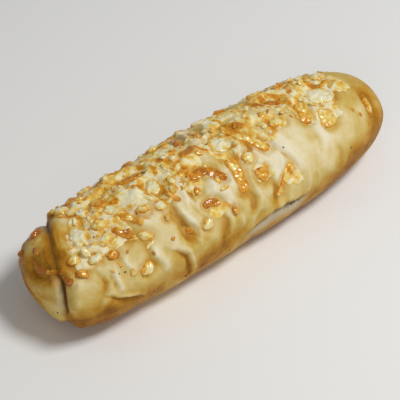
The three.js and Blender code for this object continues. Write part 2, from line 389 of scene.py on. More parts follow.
# %% Faces between rings
def ring_faces(rings, around):
    """Quads between rings of points, with a fan of triangles to the first and last point."""
    grid = 1 + np.arange(rings * around).reshape(rings, around)
    ahead = np.roll(grid, -1, axis=1)
    quads = np.stack([grid[:-1], ahead[:-1], ahead[1:], grid[1:]], -1).reshape(-1, 4).tolist()
    last = rings * around + 1
    first_fan = [(0, b, a) for a, b in zip(grid[0].tolist(), ahead[0].tolist())]
    last_fan = [(last, a, b) for a, b in zip(grid[-1].tolist(), ahead[-1].tolist())]
    return first_fan + quads + last_fan


# %% [markdown]
# ## Folds, seam and tear
# Baking leaves its history in the crust. The seam gapes most on the two flanks and shows pale crumb
# there. The front flank has torn open low down, where the crust set before the crumb had finished rising.
# Creases run down from the cheese because the dough could not stretch under it. Each crease is a path
# over the crust with a width and a height, so one loop presses in or raises them all, and every valley
# gets a raised side, as a fold in skin has.

# %% Random relief and distance to a path
def ripple(points, seed=0.0):
    """Smooth random numbers from about -1 to 1 for an array of places, one unit apart being unrelated."""
    return np.array([noise.noise(point) for point in (points + seed).tolist()])


def shake(points, seed, apart=11.0):
    """Three ripples at once, as a push in any direction."""
    return np.stack([ripple(points, seed + apart * axis) for axis in range(3)], -1)


def path_distance(path, along, turn):
    """For every crust place: mm to the path, where on the path it is nearest (0 to 1), and its side."""
    here = np.stack([along, turn * MM_PER_DEGREE], -1)
    points = np.array(path, float) * [1, MM_PER_DEGREE]
    lengths = np.linalg.norm(np.diff(points, axis=0), axis=1)
    starts = np.concatenate([[0], np.cumsum(lengths)])
    best, where, side = np.full(len(along), 1e9), np.zeros(len(along)), np.ones(len(along))
    for first, second, length, start in zip(points[:-1], points[1:], lengths, starts):
        way = second - first
        t = np.clip((here - first) @ way / length ** 2, 0, 1)
        off = here - first - t[:, None] * way
        gap = np.linalg.norm(off, axis=1)
        turned = np.sign(way[0] * off[:, 1] - way[1] * off[:, 0])
        side = np.where(gap < best, turned, side)
        where = np.where(gap < best, (start + t * length) / starts[-1], where)
        best = np.minimum(best, gap)
    return best, where, side


# %% Seam and tear
TEAR = [(-14, 94), (-6, 92), (1, 89), (8, 87), (14, 87.5), (22, 90), (32, 91)]
# each in mm: its size where the seam is tight, and how much more it is where the seam gapes
LOBE_DROP, CRACK_DEPTH, GROOVE_DEPTH, LIP_HEIGHT = (0.2, 0.5), (0.2, 0.8), (1.5, 1.0), (0.5, 0.3)
TEAR_DEPTH, HOLE_DEPTH, TORN_DEPTH, TEAR_LIP_HEIGHT = 2.0, 0.6, 0.7, 0.6
past_seam = along - seam_at(turn)
front_gape = smooth(15, 45, turn) * (1 - smooth(75, 110, turn))
far_gape = smooth(-20, -50, turn) * (1 - smooth(-80, -120, turn))
gape = front_gape + far_gape


def by_gape(size):
    """A size of the seam at every crust place."""
    tight, more = size
    return tight + more * gape


lobe = by_gape(LOBE_DROP) * smooth(0, -2.5, past_seam) * (1 - smooth(-5, -18, past_seam))
crack = by_gape(CRACK_DEPTH) * bell(past_seam, 0, 0.8)
groove = by_gape(GROOVE_DEPTH) * bell(past_seam, 0, np.where(past_seam > 0, 3.2, 2.6)) + crack
lip = by_gape(LIP_HEIGHT) * bell(past_seam, 6.5, 4)

tear_gap, tear_run, _ = path_distance(TEAR, along, turn)
tear_below = turn > np.interp(along, *np.array(TEAR).T)
tear_open = smooth(0, 0.3, tear_run) * (1 - smooth(0.8, 1, tear_run))
tear = bell(tear_gap, 0, 1.2) * tear_open * (0.8 + 0.4 * ripple(form / 3.2, 15.0))
tear_holes = smooth(0.0, 0.3, ripple(form / 2.2, 17.0)) * bell(along, 19, 8) * bell(tear_gap, 1.2, 1.6)
torn_crumb = smooth(12, 4, tear_gap) * tear_below * tear_open
tear_lip = TEAR_LIP_HEIGHT * bell(tear_gap, 2.2, 1.8) * ~tear_below * tear_open
print("seam pressed in by up to", round(groove.max(), 1), "mm")

# %% Creases and ridges
# width in mm, height in mm (minus for a valley), path of (along, turn)
FOLDS = [
    (2.2, -1.6, [(-50.5, 66), (-46, 76), (-45, 84), (-44, 100)]),
    (1.8, -1.3, [(-87, 73), (-84, 80), (-79, 86), (-72, 93)]),
    (2.8, -2.0, [(-41, 26), (-42.5, 38), (-41.5, 48), (-39, 63)]),
    (2.0, -1.5, [(-27.5, 6), (-30, 22), (-30.5, 36)]),
    (1.5, 1.2, [(7, 2), (4, 16), (1, 32)]),
    (2.0, -1.1, [(-84, 49), (-83, 67)]),
    (1.6, 1.0, [(-74.5, 33), (-74.5, 50), (-73, 62)]),
    (1.6, 0.8, [(-82, 60), (-81, 72)]),
    (1.6, 0.8, [(-12, 68), (-12, 80)]),
    (2.6, -1.3, [(11, 55), (12, 66), (10, 78)]),
    (2.2, -1.3, [(19, 28), (22, 38), (25, 48)]),
    (1.6, 1.0, [(21, 36), (19, 48), (16, 58)]),
    (2.4, -0.6, [(44, 30), (44, 46), (42, 58)]),
    (1.8, 0.5, [(50, 26), (51, 40), (49, 54)]),
    (2.0, 1.0, [(51, 4), (54, 18), (55, 30)]),
    (2.8, -1.3, [(-3, 52), (-2, 62), (-5, 72)]),
    (2.6, -1.2, [(-22, 56), (-20, 66), (-22, 78)]),
    (1.6, 1.0, [(-30, 10), (-33, 24), (-36, 40)]),
    (1.6, 1.0, [(-17, 22), (-19, 34), (-24, 44)]),
    (1.6, 0.9, [(-7, 20), (-8, 34), (-9, 46)]),
    (2.6, -0.4, [(52, 54), (55, 70), (54, 80)]),
    (2.2, -0.35, [(70, 30), (74, 44), (72, 60)]),
    (2.6, -1.2, [(-62, 46), (-63, 60), (-60, 72)]),
    (2.4, -1.1, [(-88, 44), (-87, 58), (-90, 70)]),
    (2.0, -1.2, [(-94, 8), (-95, 24), (-97, 40)]),
    (2.2, -1.2, [(-56, -62), (-55, -80), (-52, -96)]),
    (2.6, -1.2, [(-14, -70), (-12, -88), (-16, -104)]),
    (2.4, -1.1, [(26, -74), (27, -90), (24, -102)]),
    (1.8, -1.2, [(44, -86), (58, -90), (72, -88)]),
    (2.6, -1.1, [(60, -60), (63, -76), (60, -90)]),
]
FOLD_GAIN, SIDE_GAIN = 1.35, 0.9
# a lower power makes a sharper line
VALLEY_POWER, RIDGE_POWER = 1.2, 1.6
wander = ripple(form / 4, 19.0)
folds = np.zeros(len(along))
for width, rise, path in FOLDS:
    gap, run, side = path_distance(path, along, turn)
    gap = gap * 1.3 * (1 + 0.25 * wander)
    fades = 0.35 + 0.65 * np.sin(np.pi * np.clip(run, 0.05, 0.95))
    power = VALLEY_POWER if rise < 0 else RIDGE_POWER
    folds += FOLD_GAIN * rise * np.exp(-(gap / width) ** power) * fades
    if rise < 0:
        folds -= SIDE_GAIN * rise * bell(gap, 1.3 * width, width) * fades * (side < 0)
print(len(FOLDS), "folds, from", round(folds.min(), 2), "to", round(folds.max(), 2), "mm")

# %% [markdown]
# ## Pillowed crust
# Between the folds the skin is never flat either. Gas lifts it in soft pillows, and while it shrinks it
# drapes and puckers. Smooth noise at several sizes, stretched along the loaf's girth and bent by more
# noise, gives the pillows and drapes, and the borders of random cells give the puckers.

# %% Pillows, drapes and puckers
pillows = 0.8 * ripple(form / 17, 3.1) + 0.35 * ripple(form / [7, 11, 11], 9.7)
warp = shake(form / 16, 5.0, 4)
drape_place = form / [8, 17, 17] + warp * 0.6
drapes = ripple(drape_place, 21.3)
webs = np.maximum(1 - 3.2 * np.abs(ripple(drape_place * 0.8, 27.9)), 0) ** 1.5
calm = 1 - 0.8 * smooth(38, 74, along)
off_top = np.abs(turn)
top_part = smooth(105, 70, off_top)
crumple = np.maximum(1 - 5 * np.abs(ripple(form / [11, 14, 14] + warp, 33.0)), 0)
crumpled = smooth(15, 40, off_top) * smooth(90, 68, off_top)
crumpled = crumpled * smooth(92, 55, along) * smooth(-112, -90, along)
cell_places = form / [9, 15, 15] + 0.5 * warp + 57.0
cells = np.array([noise.voronoi(point)[0][:2] for point in cell_places.tolist()])
wrinkles = np.exp(-((cells[:, 1] - cells[:, 0]) / 0.17) ** 1.2) * smooth(-0.3, 0.3, drapes)
wrinkled = bell(along, -12, 50) * bell(turn, 48, 24)
pillows = calm * (pillows + top_part * (0.6 * drapes + 0.45 * webs) - 0.22 * crumple * crumpled)
pillows -= 1.1 * wrinkles * wrinkled
print("pillows from", round(pillows.min(), 2), "to", round(pillows.max(), 2), "mm")

# %% [markdown]
# ## Dough that puffs up around the cheese
# Cheese weighs the dough down and insulates it, so the crust stays low under each shred and swells
# between them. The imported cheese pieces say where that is. A search tree of their triangles gives the
# distance from every crust place to the nearest one. The crust is pressed in under shreds and patches,
# has a small ridge beside them and has swollen in full five millimetres off. The small nuggets hold it
# back less.

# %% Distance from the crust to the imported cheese
CHEESE_NODES = sorted(name for name in frame["nodes"] if name.startswith("cheese_"))
# in mm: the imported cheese's clearance, the swelling, the ridge beside a strip and the dent under it
GAP = 0.4
SWELLING, STRIP_RIDGE, STRIP_DENT = 2.0, 0.55, 0.65
pressed = lobe + groove
crust_level = form - normals * pressed[:, None]


def gap_to(*kinds):
    """Distance in mm from every crust place to packed cheese of these kinds."""
    points, faces = [], []
    for name in (name for name in CHEESE_NODES if name.split("_")[1] in kinds):
        mesh, start = frame["nodes"][name].data, len(points)
        points += [vertex.co / MM for vertex in mesh.vertices]
        faces += [[start + i for i in face.vertices] for face in mesh.polygons]
    skin = BVHTree.FromPolygons(points, faces)
    return np.array([skin.find_nearest(point)[3] for point in crust_level.tolist()]) - GAP


strip_gap, nugget_gap = gap_to("shred", "patch"), gap_to("nugget")
cheese_gap = np.minimum(strip_gap, nugget_gap)
beside = smooth(2.2, 0.3, cheese_gap)
puff = SWELLING * smooth(0.4, 5.0, strip_gap) * (0.6 + 0.4 * smooth(0.0, 3.0, nugget_gap))
puff += STRIP_RIDGE * bell(strip_gap, 2.2, 1.1) - STRIP_DENT
print(f"{(cheese_gap < 0.5).mean():.0%} of the crust lies under cheese pieces")

# %% [markdown]
# ## Melted film
# Between the larger pieces the cheese has run together into a thin, lumpy film. It is part of the crust's
# surface now, so it is raised on the loaf's own mesh. Patches say where it ran, and noise frays their
# outlines. Shreds too thin to be pieces of their own are raised the same way: a few listed one by one, the
# others at random.

# %% The film
# along, turn, half length and half breadth in mm, toasting 0 to 1
FILMS = [
    (-84, 12, 13, 11, 0.1), (-70, 4, 11, 12, 0.25), (-56, 4, 10, 8, 0.15), (-72, 26, 8, 6, 0.45),
    (-42, -4, 10, 8, 0.2), (-90, 30, 7, 5, 0.3), (-20, 2, 9, 6, 0.35), (-3, 0, 8, 10, 0.25),
    (12, 2, 8, 9, 0.6), (30, 8, 8, 6, 0.55), (48, 12, 6, 9, 0.35), (63, 6, 12, 9, 0.15),
    (58, 28, 9, 8, 0.55), (76, 8, 6, 6, 0.4), (8, 44, 6, 7, 0.5), (-26, 24, 6, 5, 0.5),
    (-52, -28, 12, 8, 0.5), (-20, -28, 14, 9, 0.4), (14, -30, 12, 9, 0.5), (44, -24, 12, 9, 0.45),
    (-76, -26, 10, 8, 0.5), (-98, -30, 7, 7, 0.5), (70, -18, 9, 8, 0.3), (-60, -52, 10, 7, 0.4),
    (-10, -56, 10, 8, 0.5), (36, -52, 10, 8, 0.45), (22, 62, 6, 6, 0.6), (-22, 54, 8, 4, 1.0),
]
past_lip = smooth(4, 13, past_seam)
on_ridge = bell(turn, -10, 34) * past_lip * smooth(94, 78, along)
film_raw = 0.75 * on_ridge - 0.5
film_tone = 0.5 + 0.4 * ripple(form / 9, 29.0)
for place, around, half_long, half_wide, tone in FILMS:
    distance = np.hypot((along - place) / half_long, (turn - around) * MM_PER_DEGREE / half_wide)
    closer = 1 - distance > film_raw
    film_tone = np.where(closer, tone, film_tone)
    film_raw = np.maximum(film_raw, 1 - distance)
ragged = 0.34 * ripple(form / 6.5, 31.0) + 0.30 * ripple(form / 2.6, 37.0)
film = smooth(0.05, 0.30, film_raw + ragged) * np.maximum(past_lip, 0.5 * (turn < -20))
lumps = np.maximum(ripple(form / 3.0, 41.0), 0) + 0.5 * np.maximum(ripple(form / 1.6, 43.0), 0)
print(f"film on {(film > 0.5).mean():.0%} of the crust")

# %% Thin shreds that melted flat
# half width in mm, height in mm, toasting 0 to 1, path of (along, turn)
LAID_STRANDS = [
    (1.2, 0.7, 1.7, [(-108, -12), (-110, 0), (-106, 13), (-101, 24)]),
    (2.2, 0.6, 0.75, [(-13, -6), (-7, 4), (-3, 14), (-2, 24)]),
    (1.8, 0.5, 0.6, [(6, -22), (12, -8), (17, 6), (20, 20)]),
    (1.6, 0.5, 0.8, [(36, -14), (43, -8), (48, 2)]),
    (1.4, 0.5, 0.7, [(-30, -12), (-24, -4), (-17, 0), (-9, 0)]),
    (1.5, 0.5, 0.8, [(24, 51), (20, 56), (15, 66)]),
    (1.4, 0.5, 0.9, [(-66, 12), (-69, 22), (-66, 33), (-60, 38)]),
    (0.9, 0.4, 1.4, [(75, 45), (75.5, 48)]),
    (0.8, 0.3, 1.1, [(72, 37), (72.5, 39)]),
    (0.7, 0.3, 1.0, [(-73, 62), (-73, 64)]),
    (0.7, 0.3, 1.0, [(-82, 49), (-82, 51)]),
]
rng = np.random.default_rng(11)
RANDOM_STRANDS, STRAND_STEP = 120, 1.9
strand_height = np.zeros(len(along))
here = np.stack([along, turn * MM_PER_DEGREE], -1)


def lay_strand(path, width, tall, tone):
    """Raises one flat strand on the crust and marks it as cheese of the given toasting. All in mm."""
    reach = np.linalg.norm(np.ptp(path, axis=0)) / 2 + 3 * width
    near = np.flatnonzero(np.linalg.norm(here - np.mean(path, axis=0), axis=1) < reach)
    if not len(near):
        return
    gap, _, _ = path_distance([(a, b / MM_PER_DEGREE) for a, b in path], along[near], turn[near])
    gap = gap / width + 0.4 * ragged[near]
    profile = smooth(1.35, 0.5, gap)
    strand_height[near] = np.maximum(strand_height[near], tall * profile * (0.75 + 0.5 * lumps[near]))
    film_tone[near] = np.where(profile > 0.4, tone, film_tone[near])
    film[near] = np.maximum(film[near], profile)


for width, tall, tone, path in LAID_STRANDS:
    lay_strand([(a, b * MM_PER_DEGREE) for a, b in path], width, tall, tone)
for number in range(RANDOM_STRANDS):
    start = np.array([rng.uniform(-88, 84), min(rng.normal(-22, 24), 8) * MM_PER_DEGREE])
    heading, bend = rng.uniform(0, np.pi), rng.uniform(-0.16, 0.16)
    steps = int(rng.integers(3, 8))
    width, tall, tone = rng.uniform(0.7, 1.7), rng.uniform(0.3, 0.7), rng.uniform(0.6, 1.5)
    path = [start]
    for step in range(steps):
        heading += bend + rng.normal(0, 0.12)
        path.append(path[-1] + STRAND_STEP * np.array([np.cos(heading), np.sin(heading)]))
    lay_strand(path, width, tall, tone)
print(len(LAID_STRANDS) + RANDOM_STRANDS, "thin shreds, up to", round(strand_height.max(), 2), "mm high")

# %% [markdown]
# ## The finished crust
# Every mark so far is a height over the plain form, so they simply add up, and the sum moves each point
# straight out. Folds, pillows and swelling fade near the flat base, where the dough lay on its tray.

# %% Final crust height
base_free = smooth(0, 3, form[:, 2])
height = -pressed + lip - TEAR_DEPTH * tear - HOLE_DEPTH * tear_holes - TORN_DEPTH * torn_crumb + tear_lip
height += (folds + pillows) * base_free * (1 - 0.7 * beside) + top_part * puff * base_free
height += 0.06 * ripple(form / 1.1, 51.0) * base_free
height += 0.3 * ripple(form / 1.4, 53.0) * torn_crumb
film_height = 0.15 + 0.9 * lumps + 0.5 * ripple(form / 5.5, 45.0)
height += film * film_height + strand_height * (1 - 0.6 * beside)
crust = form + normals * height[:, None]
crust[:, 2] = np.maximum(crust[:, 2], 0)
crust_faces = ring_faces(len(stations), AROUND)
print("crust height from", round(height.min(), 2), "to", round(height.max(), 2), "mm")


# %% Small helpers for points and attributes
def read_points(mesh):
    flat = np.empty(len(mesh.vertices) * 3)
    mesh.vertices.foreach_get("co", flat)
    return flat.reshape(-1, 3) / MM


def write_points(mesh, points):
    mesh.vertices.foreach_set("co", (points * MM).ravel())
    mesh.update()


def write_attribute(mesh, name, values):
    made = mesh.attributes.new(name, "FLOAT", "POINT")
    made.data.foreach_set("value", np.asarray(values, dtype=np.float32))


def apply_modifiers(made):
    """Turns a piece's evaluated shape into its plain mesh and removes the modifiers."""
    evaluated = made.evaluated_get(bpy.context.evaluated_depsgraph_get())
    mesh = bpy.data.meshes.new_from_object(evaluated)
    made.modifiers.clear()
    made.data = mesh
    return made


# %% The loaf mesh
loaf_mesh = bpy.data.meshes.new("loaf_crust")
loaf_mesh.from_pydata((crust * MM).tolist(), [], crust_faces)
loaf_mesh.shade_smooth()
loaf = new_object("loaf_crust", loaf_mesh)
print(len(loaf_mesh.polygons), "crust faces")

# %% [markdown]
# ## Cheese finishes
# The same cheese bakes three ways: pale nuggets that only melted, golden shreds, and thin ends that
# toasted. All three run through the same colours, from milky white through yellow and orange to brown,
# and differ in how far along they are. Every blister stays paler, and every foot browns more: partly where
# fat fried it against the crust, partly as painted shade where the piece meets the crust. The `oven`
# attribute toasts a piece further where the heat was stronger.

# %% Cheese materials
WHITE_CHEESE, YELLOW_CHEESE = (0.96, 0.89, 0.60), (0.93, 0.70, 0.18)
ORANGE_CHEESE, TOASTED_CHEESE = (0.80, 0.34, 0.015), (0.46, 0.14, 0.005)
CHEESE_STOPS = [(0.0, WHITE_CHEESE), (0.2, WHITE_CHEESE), (0.42, YELLOW_CHEESE), (0.68, ORANGE_CHEESE),
                (1.0, TOASTED_CHEESE)]


def cheese_finish(name, tone, blotches, grain, foot_brown_and_shade):
    """Cheese of a mean toasting, 0 to 1, with blotches and grain, and a foot fried and painted with shade.
    """
    made = Finish(name)
    tone = tone + made.attribute("oven")
    lift, bubble = made.attribute("lift"), made.attribute("bubble")
    blotch, grit = made.noise(0.0042, 2, 0.55), made.noise(0.0013, 2, 0.6)
    toasting = tone + (blotch - 0.5) * blotches + (grit - 0.5) * grain
    # the foot browns: partly fried, partly painted shade where the piece meets the crust
    toasting = toasting + (1 - lift) * foot_brown_and_shade - (bubble - 0.5) * 0.3
    colour = made.ramp(CHEESE_STOPS, toasting)
    relief = made.bump(grit, 0.0006, 1.0)
    made.set(Base_Color=colour, Roughness=0.34 + (grit - 0.5) * 0.4, Normal=relief)
    made.let_light_in((0.004, 0.0025, 0.001))
    made.shader.inputs["Coat Weight"].default_value = 0.9
    made.shader.inputs["Coat Roughness"].default_value = 0.08
    return made.material


CHEESE = {
    "cheese_pale": cheese_finish("pale_cheese", tone=0.24, blotches=1.1, grain=0.25, foot_brown_and_shade=0.40),
    "cheese_golden": cheese_finish("golden_cheese", tone=0.46, blotches=0.7, grain=0.22, foot_brown_and_shade=0.28),
    "cheese_toasted": cheese_finish("toasted_cheese", tone=0.72, blotches=0.5, grain=0.3, foot_brown_and_shade=0.16),
}
print(len(CHEESE), "cheese finishes")

# %% [markdown]
# ## The cheese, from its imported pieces
# Each cheese piece is in the frame as a plain domed strip. A copy of it is welded, subdivided, laid on
# the finished crust and worked like melted cheese: its outline wanders, its top is blistered, and its rim
# thins away until it dips under the crust, so that no piece ends in a wall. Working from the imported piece
# keeps each in its place.

# %% Where the finished crust is
crust_tree = kdtree.KDTree(len(form))
for i, point in enumerate(crust_level.tolist()):
    crust_tree.insert(point, i)
crust_tree.balance()
crust_skin = BVHTree.FromPolygons(crust.tolist(), crust_faces)
DROP_FROM = 8.0


def nearest_crust(points):
    """The number of the crust place nearest to each point."""
    return np.array([crust_tree.find(point)[1] for point in points.tolist()])


def land(points, out):
    """Where each point comes down on the finished crust when it is dropped along its own upright."""
    landed = points.copy()
    for i, (start, way) in enumerate(zip((points + DROP_FROM * out).tolist(), (-out).tolist())):
        spot = crust_skin.ray_cast(start, way)[0]
        if spot is not None:
            landed[i] = spot
    return landed


# %% Melt one cheese piece
# in mm: how deep the rim of a piece dips under the crust, and the sizes of what shapes it
RIM = 0.6
WANDER_SIZE, NIBBLE_SIZE, FRAY_SIZE, BUBBLE_SIZE = 5.0, 2.0, 2.3, 1.7
SUBDIVISIONS = 2
oven = 0.36 * smooth(-89, -99, along) + 0.1 * ripple(form / 12, 95.0)
oven -= 0.13 * bell(along, 64, 13) * bell(turn, 2, 18)


def melt(name, node, seed, thick, dome, wander, fray, blister, browner):
    """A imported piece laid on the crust: thick in mm at its middle, sunk by RIM all round its outline."""
    mesh = node.data.copy()
    mesh.materials.clear()
    piece = new_object(name, mesh)
    weld = bmesh.new()
    weld.from_mesh(mesh)
    bmesh.ops.remove_doubles(weld, verts=weld.verts, dist=1e-6)
    weld.to_mesh(mesh)
    weld.free()
    for key in [a.name for a in mesh.attributes if a.name.startswith("custom")]:
        mesh.attributes.remove(mesh.attributes[key])
    smoother = piece.modifiers.new("fine", "SUBSURF")
    smoother.levels = smoother.render_levels = SUBDIVISIONS
    apply_modifiers(piece)
    mesh = piece.data

    points = read_points(mesh)
    foot = nearest_crust(points)
    lift = np.einsum("ij,ij->i", points - crust_level[foot], normals[foot]) - GAP
    share = np.clip(lift / lift.max(), 0, 1)
    points += wander * shake(points / WANDER_SIZE, seed) + 0.6 * shake(points / NIBBLE_SIZE, seed + 3)
    out = normals[nearest_crust(points)]
    frayed = ripple(points / FRAY_SIZE, seed + 40)
    bubbles = np.maximum(ripple(points / BUBBLE_SIZE, seed), -0.25)
    bubbles += 0.4 * ripple(points / (BUBBLE_SIZE / 2), seed + 5)
    rise = (thick + RIM) * share ** dome - RIM + smooth(0, 0.5, share) * (fray * frayed + blister * bubbles)
    write_points(mesh, land(points, out) + out * rise[:, None])
    write_attribute(mesh, "lift", np.clip(rise / thick, 0, 1))
    write_attribute(mesh, "bubble", np.clip(0.5 + bubbles, 0, 1))
    write_attribute(mesh, "oven", oven[nearest_crust(points)] + browner)
    mesh.shade_smooth()
    return piece


# %% Melt them all
SLOT_OF = {part["node"]: part["material_slot"] for part in frame["record"]["subparts"]}
# in mm: thickness, wander of the outline, fraying of the rim and height of the blisters. Dome is the power
# of the profile, low for a flat top, and browner is how much further it toasts than its place does.
MELTING = {
    "nugget": {"thick": 1.8, "dome": 1.0, "wander": 1.1, "fray": 0.35, "blister": 0.32, "browner": 0.0},
    "shred": {"thick": 0.7, "dome": 0.6, "wander": 1.3, "fray": 0.35, "blister": 0.25, "browner": 0.1},
    "patch": {"thick": 1.0, "dome": 0.8, "wander": 1.5, "fray": 0.4, "blister": 0.4, "browner": -0.04},
}
cheese_pieces = []
for number, node_name in enumerate(CHEESE_NODES):
    ways = MELTING[node_name.split("_")[1]]
    piece = melt(node_name + "_baked", frame["nodes"][node_name], seed=7.3 * number, **ways)
    cheese_pieces.append((piece, node_name))
print(len(cheese_pieces), "cheese pieces,", sum(len(p.data.polygons) for p, _ in cheese_pieces), "faces")

# %% [markdown]
# ## Crumbs of cheese, strewn by Geometry Nodes
# Between the big pieces lie over a hundred crumbs a few millimetres across. Placing them one by one would
# be a chore and a particle system would need its own clean-up, so a node tree strews points over the
# crust, thickest where the `zone` attribute is high, sets a small lump on each and makes the result real.
# Noise after that step makes every lump different.

# %% Where crumbs fall
zone_width = 34 + 14 * smooth(-40, -80, along)
zone = bell(turn, -8, zone_width) * np.maximum(past_lip, 0.3 * (turn < -10)) * smooth(96, 60, along)
zone *= smooth(-0.25, 0.35, ripple(form / 15, 81.0) + 0.35 * smooth(0, -60, along))
zone = np.maximum(zone, 0.03 * smooth(85, 60, off_top))
write_attribute(loaf_mesh, "zone", zone)
print(f"crumbs fall mostly on {(zone > 0.5).mean():.0%} of the crust")


# %% Trees that start and end alike
def start_tree(name, inputs, result):
    """A new node tree with these inputs and one result: its Nodes, and a Value for every input."""
    tree = bpy.data.node_groups.new(name, "GeometryNodeTree")
    for label, kind in inputs.items():
        tree.interface.new_socket(label, in_out="INPUT", socket_type="NodeSocket" + kind)
    tree.interface.new_socket(result, in_out="OUTPUT", socket_type="NodeSocketGeometry")
    inlet = tree.nodes.new("NodeGroupInput")
    return Nodes(tree), {socket.name: Value(tree, socket) for socket in inlet.outputs if socket.name}


def end_tree(nodes, shape, finish):
    """The last steps of a tree: its finish, and out."""
    painted = nodes.add("GeometryNodeSetMaterial", inputs={"Geometry": shape, "Material": finish})
    put(nodes.tree, nodes.tree.nodes.new("NodeGroupOutput").inputs[0], painted)
    return nodes.tree


# %% The strewing tree
# radians, and patches of noise per metre
FULL_TURN, WOBBLE_SCALE = 6.283, 450.0


def strewing_tree(name):
    """Lumps strewn over a crust. Size, in metres, is about half the length of a lump."""
    nodes, given = start_tree(name, {
        "Crust": "Geometry", "Density": "Float", "Spacing": "Float", "Size": "Float", "Flatness": "Float",
        "Raggedness": "Float", "Seed": "Int", "Finish": "Material"}, "Crumbs")
    zone_here = nodes.add("GeometryNodeInputNamedAttribute", {"data_type": "FLOAT"}, {"Name": "zone"})
    spots = nodes.add("GeometryNodeDistributePointsOnFaces", {"distribute_method": "POISSON"}, {
        "Mesh": given["Crust"], "Distance Min": given["Spacing"], "Density Max": given["Density"],
        "Density Factor": zone_here, "Seed": given["Seed"]})
    upright = Value(nodes.tree, spots.socket.node.outputs["Rotation"])
    ball = nodes.add("GeometryNodeMeshIcoSphere", inputs={"Radius": 1.0, "Subdivisions": 2})
    size = nodes.add("FunctionNodeRandomValue", {"data_type": "FLOAT_VECTOR"}, {
        "Min": (0.45, 0.45, 0.5), "Max": (1.3, 0.9, 0.9), "Seed": given["Seed"]})
    spread = nodes.add("ShaderNodeCombineXYZ", inputs={
        "X": given["Size"], "Y": given["Size"], "Z": given["Size"] * given["Flatness"]})
    scale = nodes.add("ShaderNodeVectorMath", {"operation": "MULTIPLY"}, {
        "Vector": size, "Vector_001": spread})
    spin = nodes.add("FunctionNodeRandomValue", {"data_type": "FLOAT"}, {
        "Min": 0.0, "Max": FULL_TURN, "Seed": 5}, 1)
    turned = nodes.add("FunctionNodeRotateRotation", {"rotation_space": "LOCAL"}, {
        "Rotation": upright, "Rotate By": nodes.add("ShaderNodeCombineXYZ", inputs={"Z": spin})})
    placed = nodes.add("GeometryNodeInstanceOnPoints", inputs={
        "Points": spots, "Instance": ball, "Rotation": turned, "Scale": scale})
    real = nodes.add("GeometryNodeRealizeInstances", inputs={"Geometry": placed})
    wobble = nodes.add("ShaderNodeTexNoise", inputs={"Scale": WOBBLE_SCALE, "Detail": 1.0}, output="Color")
    centred = nodes.add("ShaderNodeVectorMath", {"operation": "SUBTRACT"}, {
        "Vector": wobble, "Vector_001": (0.5, 0.5, 0.5)})
    offset = nodes.add("ShaderNodeVectorMath", {"operation": "SCALE"}, {
        "Vector": centred, "Scale": given["Size"] * given["Raggedness"]})
    moved = nodes.add("GeometryNodeSetPosition", inputs={"Geometry": real, "Offset": offset})
    return end_tree(nodes, moved, given["Finish"])


# %% Strew the crumbs
def run_tree(name, mesh, tree, **given):
    """The tree's result on a mesh, as a plain object of its own."""
    carrier = new_object(name, mesh)
    modifier = carrier.modifiers.new("strew", "NODES")
    modifier.node_group = tree
    for item in tree.interface.items_tree:
        if item.in_out == "INPUT" and item.name.lower() in given:
            modifier[item.identifier] = given[item.name.lower()]
    return apply_modifiers(carrier)


def add_lift(mesh, tallest):
    """Writes what the cheese finish reads: the height over the crust, the blisters and the oven's heat."""
    points = read_points(mesh)
    out = normals[nearest_crust(points)]
    rise = np.einsum("ij,ij->i", points - land(points, out), out)
    write_attribute(mesh, "lift", np.clip(rise / tallest, 0, 1))
    write_attribute(mesh, "bubble", 0.5 + 0.5 * ripple(points / 1.2, 91.0))
    write_attribute(mesh, "oven", oven[nearest_crust(points)])
    mesh.shade_smooth()


strew_tree = strewing_tree("strewn_cheese")
# name, slot, then points per square metre, sizes in metres and so on, in the order of WAYS
WAYS = ("density", "spacing", "size", "flatness", "raggedness", "seed")
CRUMBS = [
    ("pale_crumbs", "cheese_pale", (16000.0, 0.0050, 0.0023, 0.48, 0.9, 3)),
    ("golden_crumbs", "cheese_golden", (16000.0, 0.0042, 0.0018, 0.45, 1.1, 8)),
    ("toasted_crumbs", "cheese_toasted", (12000.0, 0.0042, 0.0012, 0.5, 1.3, 14)),
]
crumb_pieces = []
for name, slot, numbers in CRUMBS:
    ways = dict(zip(WAYS, numbers))
    crumbs = run_tree(name, loaf_mesh, strew_tree, finish=CHEESE[slot], **ways)
    add_lift(crumbs.data, ways["size"] / MM * ways["flatness"])
    crumb_pieces.append((crumbs, slot))
    print(name, len(crumbs.data.polygons), "faces")

# %% [markdown]
# ## Burnt specks
# A few crumbs of flour and cheese burn black in any oven. They are hardly a millimetre across, so a
# painted dot would blur. A second small tree sets a dark grain on each point of a mesh that is only
# points.

# %% The specks
# places as (along, turn), and the radius in metres
SPECKS = [
    (61.5, 72), (78, 63), (23.5, 35), (-5, -5), (-73, -15), (-79.5, 13), (-57, 17), (-77, 57), (-80, 55),
    (-64.5, 97), (-72, 91), (-20, 103), (-46, 103), (-113, 100), (14, 88), (17, 89), (-30, -70), (52, -62),
]
SPECK_RADIUS = 0.00042


def speck_tree(name):
    """A grain on every point."""
    inputs = {"Places": "Geometry", "Radius": "Float", "Finish": "Material"}
    nodes, given = start_tree(name, inputs, "Specks")
    grain = nodes.add("GeometryNodeMeshIcoSphere", inputs={"Radius": given["Radius"], "Subdivisions": 2})
    size = nodes.add("FunctionNodeRandomValue", {"data_type": "FLOAT_VECTOR"}, {
        "Min": (0.6, 0.6, 0.6), "Max": (1.3, 1.3, 1.0), "Seed": 4})
    placed = nodes.add("GeometryNodeInstanceOnPoints", inputs={
        "Points": given["Places"], "Instance": grain, "Scale": size})
    real = nodes.add("GeometryNodeRealizeInstances", inputs={"Geometry": placed})
    return end_tree(nodes, real, given["Finish"])


